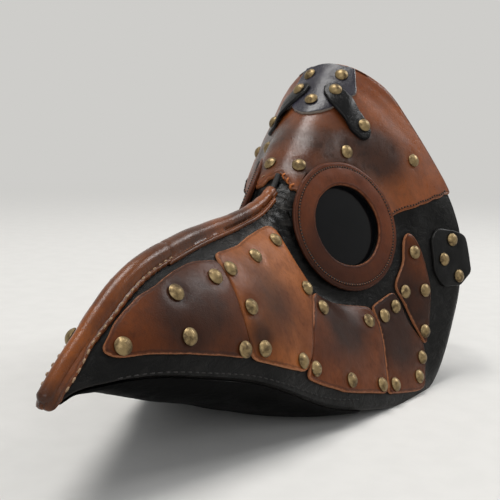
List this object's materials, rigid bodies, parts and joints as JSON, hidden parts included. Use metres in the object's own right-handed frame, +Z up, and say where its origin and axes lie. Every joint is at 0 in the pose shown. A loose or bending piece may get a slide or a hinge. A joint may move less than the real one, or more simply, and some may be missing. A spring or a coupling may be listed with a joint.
{
  "type": "plague doctor mask",
  "caption": "Leather plague doctor mask with a long riveted beak, padded ridge, round eye rings with smoked lenses, brow panel and a buckled head harness.",
  "frame": {"origin": "Middle of the box around the whole mask and harness, at the table the mask rests on.", "axes": "-Y is the way the wearer looks and the beak points, +Z is up from the table, +X is towards the wearer's left."},
  "size_m": [0.1912, 0.3774, 0.2068],
  "materials": {
    "black_leather": "black grained leather with a soft sheen",
    "brown_leather": "antiqued brown leather with darker burnished middles and pale cut edges",
    "ring_leather": "thick antiqued brown leather, stitched near the edge",
    "crown_leather": "smooth black leather with a cool sheen",
    "strap_leather": "plain black strap leather",
    "cord": "black padding cord",
    "rivet_brass": "antique brass domed rivets",
    "lens": "glossy smoked lens",
    "buckle_metal": "dull plated wire"
  },
  "bodies": {
    "mask": {"side_panel_left": "black_leather", "side_panel_right": "black_leather", "underside_gusset": "black_leather", "brow_panel": "brown_leather", "ridge_cover_front": "brown_leather", "ridge_cover_rear": "brown_leather", "ridge_core": "cord", "eye_ring_left": "ring_leather", "eye_ring_right": "ring_leather", "lens_left": "lens", "lens_right": "lens", "lens_retainer_left": "black_leather", "lens_retainer_right": "black_leather", "beak_patch_left": "brown_leather", "beak_patch_right": "brown_leather", "muzzle_patch_left": "brown_leather", "muzzle_patch_right": "brown_leather", "cheek_patch_left": "brown_leather", "cheek_patch_right": "brown_leather", "jaw_patch_left": "brown_leather", "jaw_patch_right": "brown_leather", "temple_patch_left": "brown_leather", "temple_patch_right": "brown_leather", "crown_plate": "crown_leather", "crown_leg_left": "crown_leather", "crown_leg_right": "crown_leather", "strap_tab_left": "strap_leather", "strap_tab_right": "strap_leather", "face_rivets_left": "rivet_brass", "face_rivets_right": "rivet_brass", "brow_rivets": "rivet_brass", "crown_rivets": "rivet_brass", "tab_rivets_left": "rivet_brass", "tab_rivets_right": "rivet_brass", "buckle_strap": "strap_leather", "buckle_chape": "strap_leather", "hole_strap": "strap_leather", "top_strap": "strap_leather", "strap_rivets": "rivet_brass"},
    "frame": {"buckle_frame": "buckle_metal"},
    "prong": {"buckle_prong": "buckle_metal"},
    "keeper": {"strap_keeper": "strap_leather"}
  },
  "joints": [
    {"name": "frame_swing", "type": "hinge", "parent": "mask", "child": "frame", "pos_m": [-0.027, 0.1821, 0.062], "axis": [0, 0, 1], "range_deg": [-40, 60]},
    {"name": "prong_swing", "type": "hinge", "parent": "frame", "child": "prong", "pos_m": [-0.027, 0.1821, 0.062], "axis": [0, 0, -1], "range_deg": [0, 60]},
    {"name": "keeper_slide", "type": "slide", "parent": "mask", "child": "keeper", "axis": [-1, 0, 0], "range_m": [0, 0.006]}
  ]
}
